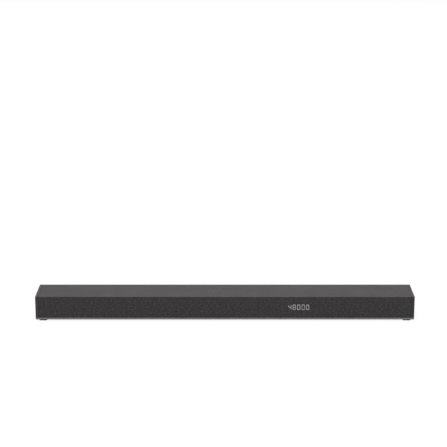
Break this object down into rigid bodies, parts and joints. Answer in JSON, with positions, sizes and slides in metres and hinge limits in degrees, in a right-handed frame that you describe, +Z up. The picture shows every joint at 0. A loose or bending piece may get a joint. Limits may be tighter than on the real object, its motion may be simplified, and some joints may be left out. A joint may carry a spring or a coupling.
{
  "type": "soundbar",
  "caption": "Long low soundbar with a stretched cloth front, glowing number display, satin top with flush keys, end caps, rear sockets in a recess, and rubber feet.",
  "frame": {"origin": "middle of the footprint, on the surface that the feet stand on", "axes": "+X along the bar to the right as a listener sees it, +Y to the back, +Z up; the cloth front faces -Y"},
  "size_m": [1.05, 0.11, 0.071],
  "materials": {
    "cover_plastic": "fine satin grain, dark grey",
    "key_plastic": "satin, tone on tone with the cover",
    "cap_plastic": "satin black-grey",
    "tray_plastic": "satin moulded, dark grey",
    "rear_plastic": "fine moulded grain, black-grey",
    "frame_plastic": "plain moulded black",
    "acoustic_cloth": "woven, speckled dark grey",
    "foot_rubber": "matt black",
    "insert_brass": "machined",
    "screw_steel": "blackened",
    "smoked_lens": "smoked clear plastic",
    "display_light": "white light block",
    "circuit_board": "green solder mask",
    "switch_plastic": "moulded black",
    "basket_steel": "black enamel",
    "magnet_iron": "sintered grey-black",
    "diaphragm_fibre": "pressed black fibre",
    "roll_rubber": "matt black",
    "tweeter_plastic": "moulded black",
    "transformer_tape": "yellow winding tape",
    "capacitor_sleeve": "dark blue sleeve",
    "sink_aluminium": "plain extruded",
    "shield_steel": "tinned"
  },
  "bodies": {
    "housing": {"amplifier_board": "circuit_board", "board_standoffs": "insert_brass", "bottom_tray": "tray_plastic", "connector_frame": "rear_plastic", "connector_plate": "rear_plastic", "cover_pillars": "frame_plastic", "data_socket": "shield_steel", "display_block": "display_light", "display_board": "circuit_board", "display_lens": "smoked_lens", "feet": "foot_rubber", "front_baffle": "frame_plastic", "grille_cloth": "acoustic_cloth", "grille_lattice": "frame_plastic", "heatsink": "sink_aluminium", "housing_screws": "screw_steel", "inlet_pins": "shield_steel", "jack_socket": "switch_plastic", "key_board": "circuit_board", "key_switches": "switch_plastic", "left_end_cap": "cap_plastic", "left_rear_panel": "rear_plastic", "main_board": "circuit_board", "optical_socket": "switch_plastic", "power_board": "circuit_board", "power_inlet": "switch_plastic", "processor": "switch_plastic", "radio_module": "shield_steel", "remote_receiver": "smoked_lens", "reservoir_capacitor": "capacitor_sleeve", "right_end_cap": "cap_plastic", "right_rear_panel": "rear_plastic", "top_cover": "cover_plastic", "transformer": "transformer_tape", "tweeters": "tweeter_plastic", "video_in_socket": "shield_steel", "video_out_socket": "shield_steel", "wall_inserts": "insert_brass", "woofer_baskets": "basket_steel", "woofer_motors": "magnet_iron", "woofer_surrounds": "roll_rubber"},
    "power_key": {"power_key": "key_plastic"},
    "source_key": {"source_key": "key_plastic"},
    "volume_down_key": {"volume_down_key": "key_plastic"},
    "volume_up_key": {"volume_up_key": "key_plastic"},
    "left_diaphragm": {"left_diaphragm": "diaphragm_fibre"},
    "right_diaphragm": {"right_diaphragm": "diaphragm_fibre"},
    "optical_shutter": {"optical_shutter": "switch_plastic"}
  },
  "joints": [
    {"name": "power_key_press", "type": "slide", "parent": "housing", "child": "power_key", "axis": [0, 0, -1], "range_m": [0, 0.0008], "stiffness_N_per_m": 500},
    {"name": "source_key_press", "type": "slide", "parent": "housing", "child": "source_key", "axis": [0, 0, -1], "range_m": [0, 0.0008], "stiffness_N_per_m": 500},
    {"name": "volume_down_key_press", "type": "slide", "parent": "housing", "child": "volume_down_key", "axis": [0, 0, -1], "range_m": [0, 0.0008], "stiffness_N_per_m": 500},
    {"name": "volume_up_key_press", "type": "slide", "parent": "housing", "child": "volume_up_key", "axis": [0, 0, -1], "range_m": [0, 0.0008], "stiffness_N_per_m": 500},
    {"name": "left_diaphragm_stroke", "type": "slide", "parent": "housing", "child": "left_diaphragm", "axis": [0, -1, 0], "range_m": [-0.0025, 0.0025], "stiffness_N_per_m": 1200, "deforming": ["woofer_surrounds"]},
    {"name": "right_diaphragm_stroke", "type": "slide", "parent": "housing", "child": "right_diaphragm", "axis": [0, -1, 0], "range_m": [-0.0025, 0.0025], "stiffness_N_per_m": 1200, "deforming": ["woofer_surrounds"]},
    {"name": "optical_shutter_hinge", "type": "hinge", "parent": "housing", "child": "optical_shutter", "pos_m": [-0.00798, 0.0309, 0.035], "axis": [-1, 0, 0], "range_deg": [0, 80], "stiffness_Nm_per_rad": 0.0004}
  ]
}
